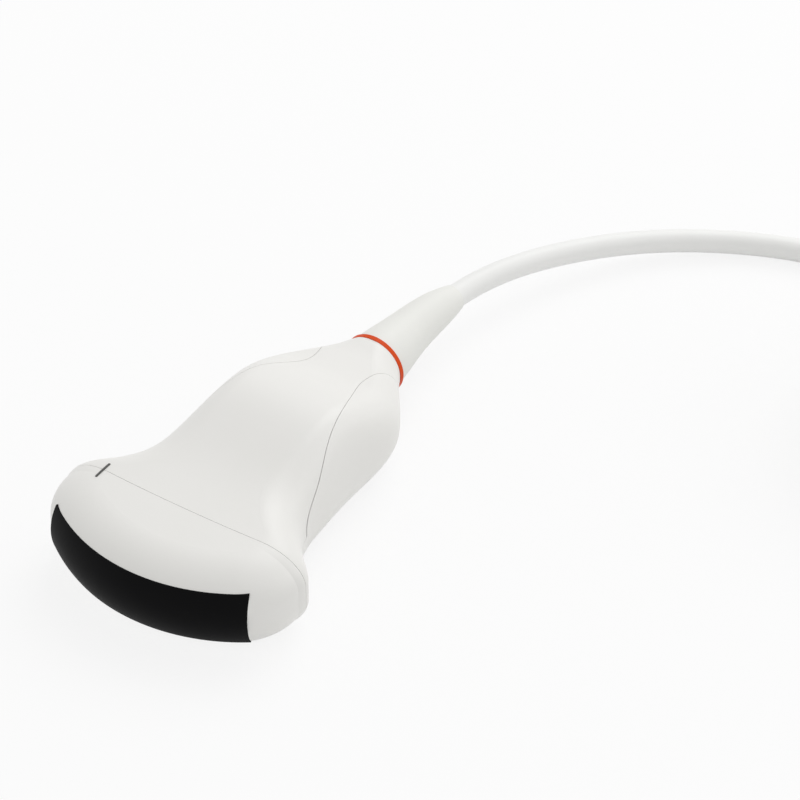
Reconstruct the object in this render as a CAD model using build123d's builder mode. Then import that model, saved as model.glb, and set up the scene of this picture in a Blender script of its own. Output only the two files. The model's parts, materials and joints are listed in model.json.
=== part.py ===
from build123d import *
import math
import os

os.makedirs("parts", exist_ok=True)

# A curved-array ultrasound probe that lies on its flat broad side, with its cable and its connector.
# Lengths are in millimetres and angles in degrees. +X runs from the lens to the cable, +Z is up,
# and the origin is on the surface it lies on, below the middle of the probe.

# Array and lens
array_radius = 50.0
lens_half_angle = 36.4
lens_height = 16.0
lens_bulge = 2.1
lens_thickness = 1.5
lens_end_sag = 0.8

# Head
nose_stand_out = 1.9
nose_half_angle = 32.0
end_radius = 18.0
nose_round = 13.0
flank_band = 3.0
head_half_thickness = 12.1
seam_behind_ends = 1.55
seam_sag = 1.4

# Handle
handle_reach = 56.8
arch_height = 5.1
collar_radius = 8.7
collar_flat = 0.4
collar_depth = 9.0
wall = 2.4
parting_gap = 0.12
seal_thickness = 1.2
seal_reach = 3.0
gland_bore_radius = 5.0
boss_radius = 2.4

# Orientation mark
mark_length = 5.8
mark_width = 0.6
mark_proud = 0.2
mark_seat = 0.5
mark_offset = 24.9

# Array stack
layer_thickness = 0.35
element_thickness = 0.6
element_height = 13.0
element_half_angle = 33.2
backing_depth = 13.6
flex_thickness = 0.3
flex_width = 22.0
flex_landing = 7.0
carrier_gap = 0.2
carrier_plate = 1.0
carrier_back = 1.6
carrier_post_angle = 1.0
lug_radius = 2.2
lug_angle = 18.0

# Boards and their frame
chassis_thickness = 2.0
chassis_overhang = 5.0
chassis_clearance = 1.5
chassis_screw_inset = 2.9
board_length = 36.0
board_width = 25.0
board_thickness = 1.6
board_inset = 1.5
socket_length = 6.0
socket_width = 16.0
socket_height = 2.4
screw_radius = 1.0
screw_head_radius = 1.9
screw_head_height = 1.2
screw_bite = 5.0
spacer_radius = 2.0
screw_edge = 2.0

# Cable, strain relief and the parts that hold them
cable_diameter = 6.5
core_radius = 2.9
coax_radius = 1.6
clamp_length = 7.0
clamp_width = 16.0
clamp_height = 4.5
clamp_gap = 0.2
clamp_screw_span = 11.0
clamp_from_collar = 6.0
ferrule_length = 2.5
ferrule_wall = 1.0
ring_width = 1.3
ring_proud = 0.25
relief_base_radius = 8.3
relief_tip_radius = 3.75
relief_length = 35.1
exit_run = 24.0
relief_fit = 0.05
bore_clearance = 0.1
shank_stub = 1.5
clip_thickness = 1.0
clip_lip = 1.1
seal_groove_depth = 0.7
seal_groove_width = 1.6

# Coil and tie
coil_middle_radius = 35.9
coil_breadth = 13.3
coil_height = 26.8
coil_round = 5.0
coil_place = (117.2, -135.3)
tie_angle = 13.0
tie_thickness = 1.2
tie_heading = -5.5

# Connector
plug_length = 58.0
plug_height = 30.0
plug_depth = 26.0
plug_wall = 2.0
plug_round = 3.0
plug_place = (129.0, -157.0)
frame_depth = 8.5
frame_step = 1.0
frame_wall = 1.5
block_recess = 4.5
contact_radius = 0.7
contact_pitch = 4.0
contact_columns = 12
contact_rows = 5
contact_proud = 0.5
contact_keep_out = 5.0
plug_board_gap = 1.5
plug_board_thickness = 1.5
plug_board_play = 0.5
lock_shaft_radius = 2.5
lock_fit = 0.05
lock_gap = 0.3
lock_cam_length = 9.0
lock_cam_width = 3.4
lock_cam_thickness = 2.2
knob_radius = 9.0
knob_thickness = 6.0
grip_length = 20.0
grip_width = 7.0
grip_thickness = 6.0
grip_round = 2.0
plug_boss_radius = 3.0
plug_boss_inset = 4.5
plug_screw_radius = 1.2
plug_screw_head_radius = 2.6
plug_screw_head_height = 1.8
plug_relief_radius = 4.6
plug_relief_offset = 18.5
plug_relief_length = 12.0
plug_relief_neck = 3.0
plug_relief_collar = 1.4

overrun = 1.0
# The share of a quarter ellipse's half axis at which a cubic curve's handles give its shape.
handle_share = 0.5523

# The handle's sections, as shares: place from the ends' centres to the ring, then width and depth
# between the collar and the head, then the arch of the top, then the rounding of the edges.
section_shares = (
    (0.016, 1.012, 1.0, 0.0, 1.0),
    (0.05, 0.999, 1.0, 0.005, 1.0),
    (0.085, 0.913, 1.0, 0.02, 1.0),
    (0.12, 0.796, 1.0, 0.04, 0.96),
    (0.161, 0.685, 1.0, 0.08, 0.87),
    (0.214, 0.591, 1.0, 0.167, 0.75),
    (0.29, 0.532, 1.0, 0.37, 0.58),
    (0.383, 0.503, 1.0, 0.71, 0.38),
    (0.477, 0.484, 1.0, 0.98, 0.26),
    (0.558, 0.481, 1.0, 0.98, 0.26),
    (0.639, 0.486, 1.0, 0.667, 0.26),
    (0.718, 0.479, 0.85, 0.235, 0.24),
    (0.786, 0.432, 0.55, 0.0, 0.2),
    (0.842, 0.335, 0.25, 0.0, 0.15),
    (0.887, 0.235, 0.1, 0.0, 0.1),
    (0.932, 0.13, 0.0, 0.0, 0.05),
    (0.966, 0.058, 0.0, 0.0, 0.0),
)

# The top panel's edge seen from above, as shares: place as above, and half width of the head's.
panel_shares = (
    (0.985, 0.44),
    (0.925, 0.322),
    (0.888, 0.267),
    (0.842, 0.237),
    (0.797, 0.237),
    (0.729, 0.287),
    (0.639, 0.37),
    (0.547, 0.432),
    (0.454, 0.498),
    (0.36, 0.58),
    (0.266, 0.645),
    (0.196, 0.729),
)

# The share of the head's half width at the handle's waist, where the frame of the boards lies.
waist_share = 0.48

# The strain relief's stations, as shares: way along it, and radius between its tip and its base.
relief_shares = ((0.0, 1.0), (0.15, 0.9), (0.36, 0.67), (0.57, 0.5), (0.8, 0.31), (1.0, 0.0))

# Places worked out from the sizes above
crown_radius = array_radius + lens_bulge
nose_radius = array_radius + nose_stand_out
end_reach = nose_radius - end_radius
end_x_step = end_reach * math.cos(math.radians(nose_half_angle))
end_y = end_reach * math.sin(math.radians(nose_half_angle))
head_half_width = end_y + end_radius
probe_length = crown_radius + handle_reach + ring_width + relief_length
array_x = crown_radius - probe_length / 2
end_x = array_x - end_x_step
ring_x = array_x + handle_reach
collar_x = ring_x - collar_depth
seam_x = end_x + seam_behind_ends
mid_z = head_half_thickness
cable_radius = cable_diameter / 2
wide = head_half_width + wall
tall = head_half_thickness + arch_height + wall

array_axis = Axis((array_x, 0, 0), (0, 0, 1))
probe_axis = Axis((0, 0, mid_z), (1, 0, 0))
section_plane = Plane((0, 0, mid_z), x_dir=(0, 1, 0), z_dir=(1, 0, 0))
mid_plane = Plane.XY.offset(mid_z)


def radial_plane(angle, x, y):
    """An upright plane through (x, y) whose own X points away from it, angle degrees from the front."""
    out = (-math.cos(math.radians(angle)), math.sin(math.radians(angle)), 0)
    return Plane((x, y, mid_z), x_dir=out, z_dir=(out[1], -out[0], 0))


def draw_flank(side, outer, depth, band, top, bottom):
    """The rounded flank of a section, from its flat top to its flat bottom."""
    for level, sign in ((top, 1), (bottom, -1)):
        start = (side * (outer - depth), sign * level)
        first = (side * (outer - depth + handle_share * depth), sign * level)
        second = (side * outer, sign * (band + handle_share * (level - band)))
        Bezier(start, first, second, (side * outer, sign * band))
    Line((side * outer, band), (side * outer, -band))


def nose_outline(plane, inner, outer, depth, half):
    """Half a section of the head, from inner to outer, on an upright plane."""
    with BuildSketch(plane) as outline:
        with BuildLine():
            draw_flank(1, outer, depth, flank_band, half, half)
            Polyline((outer - depth, half), (inner, half), (inner, -half), (outer - depth, -half))
        make_face()
    return outline.sketch


def handle_outline(x, width, top, bottom, depth, band):
    """One whole section of the handle at x."""
    with BuildSketch(section_plane.offset(x)) as outline:
        with BuildLine():
            draw_flank(1, width, depth, band, top, bottom)
            Line((width - depth, top), (depth - width, top))
            draw_flank(-1, width, depth, band, top, bottom)
            Line((width - depth, -bottom), (depth - width, -bottom))
        make_face()
    return outline.sketch


def housing_form(inset):
    """The whole housing as one solid, with its surface moved inwards by inset."""
    half = head_half_thickness - inset
    collar = collar_radius - inset
    collar_round = collar_radius - collar_flat
    sections = [handle_outline(end_x, head_half_width - inset, half, half, nose_round - inset, flank_band)]
    for place, width, depth, arch, rounding in section_shares:
        level = collar + depth * (head_half_thickness - collar_radius)
        sections.append(
            handle_outline(
                end_x + place * (ring_x - end_x),
                collar + width * (head_half_width - collar_radius),
                level + arch * arch_height,
                level,
                collar_round - inset + rounding * (nose_round - collar_round),
                flank_band + place * (collar_flat - flank_band),
            )
        )
    sections.append(handle_outline(ring_x, collar, collar, collar, collar_round - inset, collar_flat))
    with BuildPart() as form:
        front = radial_plane(nose_half_angle, array_x, 0)
        add(nose_outline(front, end_reach, nose_radius - inset, nose_round - inset, half))
        revolve(axis=array_axis, revolution_arc=2 * nose_half_angle)
        for side, start in ((1, 90), (-1, -nose_half_angle)):
            spot = radial_plane(start, end_x, side * end_y)
            add(nose_outline(spot, 0, end_radius - inset, nose_round - inset, half))
            revolve(axis=Axis((end_x, side * end_y, 0), (0, 0, 1)), revolution_arc=90 - nose_half_angle)
        with BuildSketch(mid_plane.offset(-half)):
            with BuildLine():
                ThreePointArc((end_x, -end_y), (array_x - end_reach, 0), (end_x, end_y))
                Line((end_x, end_y), (end_x, -end_y))
            make_face()
        extrude(amount=2 * half)
        loft(sections)
    return form.part


def arc_block(inner, outer, low, high, half_angle):
    """A block that follows the array's curve, between two radii and two heights."""
    with BuildPart() as block:
        with BuildSketch(radial_plane(half_angle, array_x, 0)):
            with BuildLine():
                Polyline((inner, low), (outer, low), (outer, high), (inner, high), close=True)
            make_face()
        revolve(axis=array_axis, revolution_arc=2 * half_angle)
    return block.part


def lens_ends():
    """What the head's two ends take off the lens: each bows in towards it at mid height."""
    bow = (lens_height**2 / 4 + lens_end_sag**2) / (2 * lens_end_sag)
    angle = math.radians(lens_half_angle)
    with BuildPart(mode=Mode.PRIVATE) as ends:
        for side in (1, -1):
            out = (-math.cos(angle), side * math.sin(angle), 0)
            across = (math.sin(angle), side * math.cos(angle), 0)
            with BuildSketch(Plane((array_x, 0, mid_z), x_dir=across, z_dir=out)):
                with Locations((bow - lens_end_sag, 0)):
                    Circle(bow)
            extrude(amount=crown_radius + overrun)
    return ends.part


def lens_region(inner, outer):
    """The curved block behind the lens's outline, between two radii."""
    with BuildPart() as region:
        add(arc_block(inner, outer, -lens_height / 2, lens_height / 2, lens_half_angle))
        add(lens_ends(), mode=Mode.SUBTRACT)
    return region.part


def seam_region(x, front):
    """All that lies in front of the head's seam, or behind it, when the seam's middle is at x."""
    far = end_x - 2 * array_radius if front else ring_x + array_radius
    with BuildPart() as region:
        with BuildSketch(mid_plane.offset(-tall)):
            with BuildLine():
                ThreePointArc((x + seam_sag, -wide), (x, 0), (x + seam_sag, wide))
                Polyline((x + seam_sag, wide), (far, wide), (far, -wide), (x + seam_sag, -wide))
            make_face()
        extrude(amount=2 * tall)
    return region.part


def panel_region(gap):
    """The space that the top panel takes, cut smaller all round by gap."""
    spots = [
        (end_x + place * (ring_x - end_x), share * head_half_width - gap) for place, share in panel_shares
    ]
    far_x = spots[0][0] + collar_radius
    near_x = spots[-1][0] - head_half_width
    with BuildPart() as region:
        with BuildSketch(mid_plane.offset(gap)):
            with BuildLine():
                Spline(*spots)
                Polyline(spots[-1], (spots[-1][0], wide), (near_x, wide), (near_x, 0))
                Polyline(spots[0], (spots[0][0], wide), (far_x, wide), (far_x, 0), (near_x, 0))
            make_face()
            mirror(about=Plane.XZ)
        extrude(amount=tall)
    return region.part


def upright_cylinder(x, y, low, high, radius):
    """A round post between two heights."""
    with BuildPart(Plane.XY.offset(low)) as post:
        with Locations((x, y)):
            Cylinder(radius, high - low, align=(Align.CENTER, Align.CENTER, Align.MIN))
    return post.part


def turned_about_probe(start, end, inner, outer):
    """A plain ring or sleeve on the probe's own axis."""
    with BuildPart() as sleeve:
        with BuildSketch(section_plane.offset(start)):
            Circle(outer)
            if inner:
                Circle(inner, mode=Mode.SUBTRACT)
        extrude(amount=end - start)
    return sleeve.part


def finish(piece, name):
    """Names a finished piece and writes it."""
    piece.part.label = name
    export_step(piece.part, f"parts/{name}.step")


# Cable route
# Straight runs with arcs between them. The first two points follow the strain relief and the rest
# were chosen by hand: down to the surface, round to the right and on to the coil.
route = [
    (ring_x, 0, mid_z),
    (ring_x + exit_run, 0, mid_z),
    (86.8, -3.4, 10.9),
    (111.5, -14.0, 7.9),
    (133.7, -30.7, 4.7),
    (149.1, -54.1, 3.45),
    (155.5, -76.5, 3.45),
    (157.3, -101.5, 3.45),
    (155.6, -126.4, 3.45),
]
# An arc takes this share of the shorter of its two runs.
route_share = 0.45


def route_radii(points):
    """The arc at each corner: its share of the shorter run over the tangent of half the turn."""
    radii = []
    for before, corner, after in zip(points, points[1:], points[2:]):
        first = Vector(corner) - Vector(before)
        second = Vector(after) - Vector(corner)
        half_turn = math.radians(first.get_angle(second) / 2)
        radii.append(route_share * min(first.length, second.length) / math.tan(half_turn))
    return radii


def round_tube(points, radius):
    """A round tube along straight runs joined by tangent arcs, and the length of its line."""
    with BuildPart() as tube:
        with BuildLine() as path:
            FilletPolyline(*points, radius=route_radii(points))
        way = path.wires()[0]
        with BuildSketch(Plane(way @ 0, z_dir=way % 0)):
            Circle(radius)
        sweep(path=way)
    return tube.part, way.length


print("cable arc radii", [round(r, 1) for r in route_radii(route)])

# Housing
outer_form = housing_form(0)
with BuildPart() as cavity:
    add(housing_form(wall))
    split(bisect_by=Plane.YZ.offset(collar_x), keep=Keep.BOTTOM)
with BuildPart() as shell:
    add(outer_form)
    add(cavity.part, mode=Mode.SUBTRACT)
    add(turned_about_probe(collar_x - overrun, ring_x + overrun, 0, gland_bore_radius), mode=Mode.SUBTRACT)

# Orientation mark
# A thin bar let into the top across the seam, at the end of the head that faces +Y.
with BuildPart() as orientation_mark:
    add(housing_form(-mark_proud))
    add(housing_form(mark_seat), mode=Mode.SUBTRACT)
    with BuildSketch(mid_plane):
        with Locations((seam_x + mark_length / 20, mark_offset)):
            RectangleRounded(mark_length, mark_width, mark_width / 4)
    extrude(amount=tall, mode=Mode.INTERSECT)

# Lens
with BuildPart() as lens:
    lens_back = array_radius - lens_thickness
    with BuildSketch(radial_plane(lens_half_angle, array_x, 0)):
        with BuildLine():
            edge = lens_height / 2
            ThreePointArc((array_radius, -edge), (crown_radius, 0), (array_radius, edge))
            Polyline((array_radius, edge), (lens_back, edge), (lens_back, -edge), (array_radius, -edge))
        make_face()
    revolve(axis=array_axis, revolution_arc=2 * lens_half_angle)
    add(lens_ends(), mode=Mode.SUBTRACT)

# Nose cap
with BuildPart() as nose_cap:
    add(shell.part)
    add(seam_region(seam_x - parting_gap / 2, True), mode=Mode.INTERSECT)
    add(lens_region(array_radius - nose_round, nose_radius + overrun), mode=Mode.SUBTRACT)
    add(orientation_mark.part, mode=Mode.SUBTRACT)

# Seam seal
with BuildPart() as seam_seal:
    add(cavity.part)
    add(housing_form(wall + seal_thickness), mode=Mode.SUBTRACT)
    with BuildSketch(section_plane.offset(seam_x - seal_reach)):
        Rectangle(2 * wide, 2 * tall)
    extrude(amount=2 * seal_reach, mode=Mode.INTERSECT)

# Covers
board_x = seam_x + seal_reach + board_inset
chassis_x = board_x - board_inset / 2
clamp_x = collar_x - clamp_from_collar - clamp_length
chassis_low = mid_z - chassis_thickness / 2
chassis_length = board_length + chassis_overhang
waist_half_width = collar_radius + waist_share * (head_half_width - collar_radius)
chassis_width = 2 * (waist_half_width - wall - chassis_clearance)
chassis_screw_span = chassis_width - 2 * chassis_screw_inset
chassis_screw_spots = [
    (x, side * chassis_screw_span / 2)
    for x in (chassis_x + 2 * screw_edge + screw_radius, chassis_x + chassis_length - 3 * screw_edge)
    for side in (1, -1)
]
clamp_screw_spots = [(clamp_x + clamp_length / 2, side * clamp_screw_span / 2) for side in (1, -1)]

with BuildPart() as bosses:
    for x, y in chassis_screw_spots:
        add(upright_cylinder(x, y, 0, chassis_low, boss_radius))
    for x, y in clamp_screw_spots:
        add(upright_cylinder(x, y, 0, mid_z - clamp_height, boss_radius))
    add(housing_form(wall / 2), mode=Mode.INTERSECT)

with BuildPart() as back_shell:
    add(shell.part)
    add(seam_region(seam_x + parting_gap / 2, False), mode=Mode.INTERSECT)
    add(orientation_mark.part, mode=Mode.SUBTRACT)

with BuildPart() as upper_cover:
    add(back_shell.part)
    add(panel_region(parting_gap / 2), mode=Mode.INTERSECT)

with BuildPart() as lower_cover:
    add(back_shell.part)
    add(panel_region(-parting_gap / 2), mode=Mode.SUBTRACT)
    add(bosses.part)
    for x, y in chassis_screw_spots:
        add(upright_cylinder(x, y, chassis_low - screw_bite, tall, screw_radius), mode=Mode.SUBTRACT)
    for x, y in clamp_screw_spots:
        low = mid_z - clamp_height - screw_bite / 2
        add(upright_cylinder(x, y, low, mid_z, screw_radius), mode=Mode.SUBTRACT)

# Array stack
layer_radius = lens_back
with BuildPart() as matching_layer_outer:
    half = element_height / 2
    add(arc_block(layer_radius - layer_thickness, layer_radius, -half, half, element_half_angle))
with BuildPart() as matching_layer_inner:
    top_radius = layer_radius - layer_thickness
    add(arc_block(top_radius - layer_thickness, top_radius, -half, half, element_half_angle))
with BuildPart() as element_array:
    element_radius = layer_radius - 2 * layer_thickness
    add(arc_block(element_radius - element_thickness, element_radius, -half, half, element_half_angle))
with BuildPart() as backing_block:
    backing_radius = element_radius - element_thickness
    backing_half = half - flex_thickness
    backing_back = backing_radius - backing_depth
    add(arc_block(backing_back, backing_radius, -backing_half, backing_half, element_half_angle))

# Carrier
# Two plates and two end posts round the stack, with lugs up and down to the nose cap's walls.
with BuildPart() as array_carrier:
    plate_low = half + carrier_gap
    plate_high = plate_low + carrier_plate
    carrier_radius = lens_back - carrier_gap
    carrier_inner = backing_back - carrier_back
    carrier_angle = element_half_angle + 2 * carrier_post_angle
    add(arc_block(carrier_inner, carrier_radius, -plate_high, plate_high, carrier_angle))
    pocket_angle = element_half_angle + carrier_post_angle
    pocket_back = carrier_inner - overrun
    pocket_front = carrier_radius + overrun
    add(arc_block(pocket_back, pocket_front, -plate_low, plate_low, pocket_angle), mode=Mode.SUBTRACT)
    for angle in (lug_angle, -lug_angle):
        lug_at = carrier_inner + carrier_back + lug_radius
        x = array_x - lug_at * math.cos(math.radians(angle))
        y = lug_at * math.sin(math.radians(angle))
        ceiling = head_half_thickness - wall
        add(upright_cylinder(x, y, mid_z + plate_low, mid_z + ceiling, lug_radius))
        add(upright_cylinder(x, y, mid_z - ceiling, mid_z - plate_low, lug_radius))

# Flexible circuits
# Each runs back over one broad side of the backing and ends on its board.
flex_tail = board_x + flex_landing


def flex_circuit(low):
    """A thin sheet over the backing with a tail to the board, its underside at low."""
    with BuildPart() as sheet:
        add(arc_block(backing_back, backing_radius, low, low + flex_thickness, element_half_angle))
        with BuildSketch(mid_plane.offset(low)):
            with BuildLine():
                near = array_x - backing_back - flex_width / 8
                Polyline(
                    (near, -flex_width / 2),
                    (flex_tail, -flex_width / 2),
                    (flex_tail, flex_width / 2),
                    (near, flex_width / 2),
                    close=True,
                )
            make_face()
        extrude(amount=flex_thickness)
    return sheet.part


with BuildPart() as flex_circuit_upper:
    add(flex_circuit(backing_half))
with BuildPart() as flex_circuit_lower:
    add(flex_circuit(-backing_half - flex_thickness))

# Boards, spacers and frame
board_top = backing_half
board_spots = [
    (x, side * (board_width / 2 - screw_edge))
    for x in (flex_tail + 2 * spacer_radius, board_x + board_length - 2 * spacer_radius)
    for side in (1, -1)
]


def interconnect_board(low):
    """A board with four screw holes, its underside at low."""
    with BuildPart() as board:
        with BuildSketch(mid_plane.offset(low)):
            with Locations((board_x + board_length / 2, 0)):
                RectangleRounded(board_length, board_width, screw_edge / 2)
            with Locations(*board_spots):
                Circle(screw_radius, mode=Mode.SUBTRACT)
        extrude(amount=board_thickness)
    return board.part


with BuildPart() as board_upper:
    add(interconnect_board(board_top - board_thickness))
with BuildPart() as board_lower:
    add(interconnect_board(-board_top))

with BuildPart() as board_spacers:
    gap_low = chassis_thickness / 2
    gap_high = board_top - board_thickness
    for low in (gap_low, -gap_high):
        with BuildSketch(mid_plane.offset(low)):
            with Locations(*board_spots):
                Circle(spacer_radius)
                Circle(screw_radius, mode=Mode.SUBTRACT)
        extrude(amount=gap_high - gap_low)

with BuildPart() as board_screws:
    with BuildSketch(mid_plane.offset(-board_top)):
        with Locations(*board_spots):
            Circle(screw_radius)
    extrude(amount=2 * board_top)
    with BuildSketch(mid_plane.offset(board_top)):
        with Locations(*board_spots):
            Circle(screw_head_radius)
    extrude(amount=screw_head_height)

with BuildPart() as chassis:
    with BuildSketch(mid_plane.offset(-chassis_thickness / 2)):
        with Locations((chassis_x + chassis_length / 2, 0)):
            RectangleRounded(chassis_length, chassis_width, 2 * screw_edge)
        with Locations(*board_spots, *chassis_screw_spots):
            Circle(screw_radius, mode=Mode.SUBTRACT)
    extrude(amount=chassis_thickness)

with BuildPart() as chassis_screws:
    for x, y in chassis_screw_spots:
        top = mid_z + chassis_thickness / 2
        add(upright_cylinder(x, y, chassis_low - screw_bite, top, screw_radius))
        add(upright_cylinder(x, y, top, top + screw_head_height, screw_head_radius))


def coax_socket(low):
    """The block that the thin coaxial wires plug into, on the outer face of a board."""
    with BuildPart(mid_plane.offset(low)) as socket:
        with Locations((board_x + board_length - socket_length / 2, 0)):
            Box(socket_length, socket_width, socket_height, align=(Align.CENTER, Align.CENTER, Align.MIN))
    return socket.part


with BuildPart() as coax_socket_upper:
    add(coax_socket(board_top))
with BuildPart() as coax_socket_lower:
    add(coax_socket(-board_top - socket_height))

# Coaxial wires
# Two bundles leave the sockets and join in one round core that runs to the strain relief.
socket_back = board_x + board_length
join_x = clamp_x - coax_radius
with BuildPart() as coax_harness:
    for side in (1, -1):
        level = side * (board_top + socket_height / 2)
        inner_level = side * (core_radius - coax_radius)
        bend = 2 * coax_radius
        with BuildLine() as lead_line:
            FilletPolyline(
                (socket_back, 0, mid_z + level),
                (socket_back + 2 * bend, 0, mid_z + level),
                (join_x - bend, 0, mid_z + inner_level),
                (join_x + bend, 0, mid_z + inner_level),
                radius=bend,
            )
        lead_way = lead_line.wires()[0]
        with BuildSketch(Plane(lead_way @ 0, z_dir=lead_way % 0)):
            Circle(coax_radius)
        sweep(path=lead_way)
    add(turned_about_probe(join_x, ring_x, 0, core_radius))

# Cable clamp
def clamp_half(low):
    """Half of the block that grips the core, its underside at low."""
    with BuildPart() as jaw:
        with BuildSketch(mid_plane.offset(low)):
            with Locations((clamp_x + clamp_length / 2, 0)):
                Rectangle(clamp_length, clamp_width)
            with Locations(*clamp_screw_spots):
                Circle(screw_radius, mode=Mode.SUBTRACT)
        extrude(amount=clamp_height - clamp_gap / 2)
        core = turned_about_probe(clamp_x - overrun, clamp_x + clamp_length + overrun, 0, core_radius)
        add(core, mode=Mode.SUBTRACT)
    return jaw.part


with BuildPart() as cable_clamp_upper:
    add(clamp_half(clamp_gap / 2))
with BuildPart() as cable_clamp_lower:
    add(clamp_half(-clamp_height))

with BuildPart() as clamp_screws:
    for x, y in clamp_screw_spots:
        low = mid_z - clamp_height - screw_bite / 2
        top = mid_z + clamp_height
        add(upright_cylinder(x, y, low, top, screw_radius))
        add(upright_cylinder(x, y, top, top + screw_head_height, screw_head_radius))

with BuildPart() as crimp_ferrule:
    ferrule_x = clamp_x + clamp_length + ferrule_wall
    add(turned_about_probe(ferrule_x, ferrule_x + ferrule_length, core_radius, core_radius + ferrule_wall))

# Strain relief
# A shank through the collar and a tapering boot that leans a little the way that the cable goes.
shank_radius = gland_bore_radius - relief_fit
shank_x = collar_x - shank_stub
with BuildLine() as relief_path:
    FilletPolyline(*route[:3], radius=route_radii(route)[0])
relief_way = relief_path.wires()[0]
with BuildPart() as relief_bore:
    with BuildSketch(Plane(relief_way @ 0, z_dir=relief_way % 0)):
        Circle(cable_radius + bore_clearance)
    sweep(path=relief_way)
with BuildPart() as strain_relief:
    stations = []
    for way, share in relief_shares:
        reach_share = (ring_width + way * relief_length) / relief_way.length
        spot = relief_way @ reach_share
        heading = relief_way % reach_share
        radius = relief_tip_radius + share * (relief_base_radius - relief_tip_radius)
        with BuildSketch(Plane(spot, x_dir=(0, 1, 0), z_dir=heading)) as station:
            Circle(radius)
        stations.append(station.sketch)
    loft(stations)
    add(turned_about_probe(shank_x, ring_x + ring_width, 0, shank_radius))
    groove_x = collar_x + collar_depth / 2
    groove_radius = shank_radius - seal_groove_depth
    groove = turned_about_probe(
        groove_x - seal_groove_width / 2, groove_x + seal_groove_width / 2, groove_radius, collar_radius
    )
    add(groove, mode=Mode.SUBTRACT)
    add(relief_bore.part, mode=Mode.SUBTRACT)
    bore_radius = cable_radius + bore_clearance
    add(turned_about_probe(shank_x - overrun, ring_x, 0, bore_radius), mode=Mode.SUBTRACT)

with BuildPart() as relief_clip:
    add(turned_about_probe(collar_x - clip_thickness, collar_x, shank_radius, shank_radius + clip_lip))

seal_ring_radius = (gland_bore_radius - relief_fit - groove_radius) / 2
with BuildPart() as gland_seal:
    with BuildSketch(Plane.XZ):
        with Locations((groove_x, mid_z + groove_radius + seal_ring_radius)):
            Circle(seal_ring_radius)
    revolve(axis=probe_axis)

with BuildPart() as ident_ring:
    add(turned_about_probe(ring_x, ring_x + ring_width, shank_radius, collar_radius + ring_proud))

# Cable
with BuildPart() as cable:
    tube, line_length = round_tube(route, cable_radius)
    add(tube)
print("cable line", round(line_length, 1), "volume", round(cable.part.volume))
print("section times length", round(math.pi * cable_radius**2 * line_length))

# Coil and tie
# The put-away length as the outer shape of its turns, with the tie let into it.
coil_x, coil_y = coil_place


def coil_section(shrink):
    """The coil's rounded section on an upright plane through its axis."""
    with BuildSketch(Plane((coil_x, coil_y, 0), x_dir=(1, 0, 0), z_dir=(0, -1, 0))) as section:
        with Locations((coil_middle_radius, coil_height / 2)):
            RectangleRounded(coil_breadth - 2 * shrink, coil_height - 2 * shrink, coil_round - shrink)
    return section.sketch


with BuildPart() as coil_tie:
    add(coil_section(0).rotate(Axis((coil_x, coil_y, 0), (0, 0, 1)), tie_heading))
    revolve(axis=Axis((coil_x, coil_y, 0), (0, 0, 1)), revolution_arc=tie_angle)
    with BuildPart(mode=Mode.PRIVATE) as tie_hole:
        add(coil_section(tie_thickness))
        revolve(axis=Axis((coil_x, coil_y, 0), (0, 0, 1)))
    add(tie_hole.part, mode=Mode.SUBTRACT)

with BuildPart() as cable_coil:
    add(coil_section(0))
    revolve(axis=Axis((coil_x, coil_y, 0), (0, 0, 1)))
    add(coil_tie.part, mode=Mode.SUBTRACT)

# Connector
# It lies on the coil. Its contacts face -Y, and its lock knob and its cable are on its +Y side.
plug_x, plug_y = plug_place
plug_rest = coil_height
plug_top = plug_rest + plug_height
plug_back = plug_y + plug_depth / 2
plug_front = plug_y - plug_depth / 2
frame_front = plug_front - frame_depth
shaft_z = plug_rest + plug_height / 2
upright = Plane((plug_x, 0, shaft_z), x_dir=(-1, 0, 0), z_dir=(0, 1, 0))
lead_x = plug_x + plug_relief_offset
lead_plane = Plane((lead_x, 0, shaft_z), x_dir=(-1, 0, 0), z_dir=(0, 1, 0))
lead_end = plug_back - plug_wall - plug_relief_neck
relief_end = plug_back + plug_relief_length
plug_board_front = plug_front + plug_board_gap
plug_board_back = plug_board_front + plug_board_thickness
plug_screw_spots = [
    (plug_x + side * (plug_length / 2 - plug_boss_inset), y)
    for side in (1, -1)
    for y in (plug_board_back + plug_board_play + plug_boss_radius, plug_back - plug_boss_inset)
]
screw_seat = plug_top - plug_screw_head_height - plug_wall / 4


def along_lock(start, end, radius, inner=0):
    """A round piece on the lock's axis."""
    with BuildPart() as round_piece:
        with BuildSketch(upright.offset(start)):
            Circle(radius)
            if inner:
                Circle(inner, mode=Mode.SUBTRACT)
        extrude(amount=end - start)
    return round_piece.part


with BuildPart() as plug_shell:
    with BuildSketch(upright.offset(plug_front)):
        RectangleRounded(plug_length, plug_height, plug_round)
    extrude(amount=plug_depth)
    fillet(plug_shell.faces().sort_by(Axis.Y)[-1].edges(), plug_round / 2)
    inside_round = plug_round - plug_wall / 2
    with BuildSketch(upright.offset(plug_front - overrun)):
        RectangleRounded(plug_length - 2 * plug_wall, plug_height - 2 * plug_wall, inside_round)
    extrude(amount=plug_depth - plug_wall + overrun, mode=Mode.SUBTRACT)
    for x, y in plug_screw_spots:
        low = plug_rest + plug_wall / 2
        add(upright_cylinder(x, y, low, plug_top - plug_wall / 2, plug_boss_radius))
        add(upright_cylinder(x, y, plug_rest + plug_wall, plug_top, plug_screw_radius), mode=Mode.SUBTRACT)
        head = upright_cylinder(x, y, screw_seat, plug_top + overrun, plug_screw_head_radius)
        add(head, mode=Mode.SUBTRACT)
    add(along_lock(plug_y, plug_back + overrun, lock_shaft_radius + lock_fit), mode=Mode.SUBTRACT)
    with BuildSketch(lead_plane.offset(lead_end)):
        Circle(plug_relief_radius)
    extrude(amount=plug_depth, mode=Mode.SUBTRACT)

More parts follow.
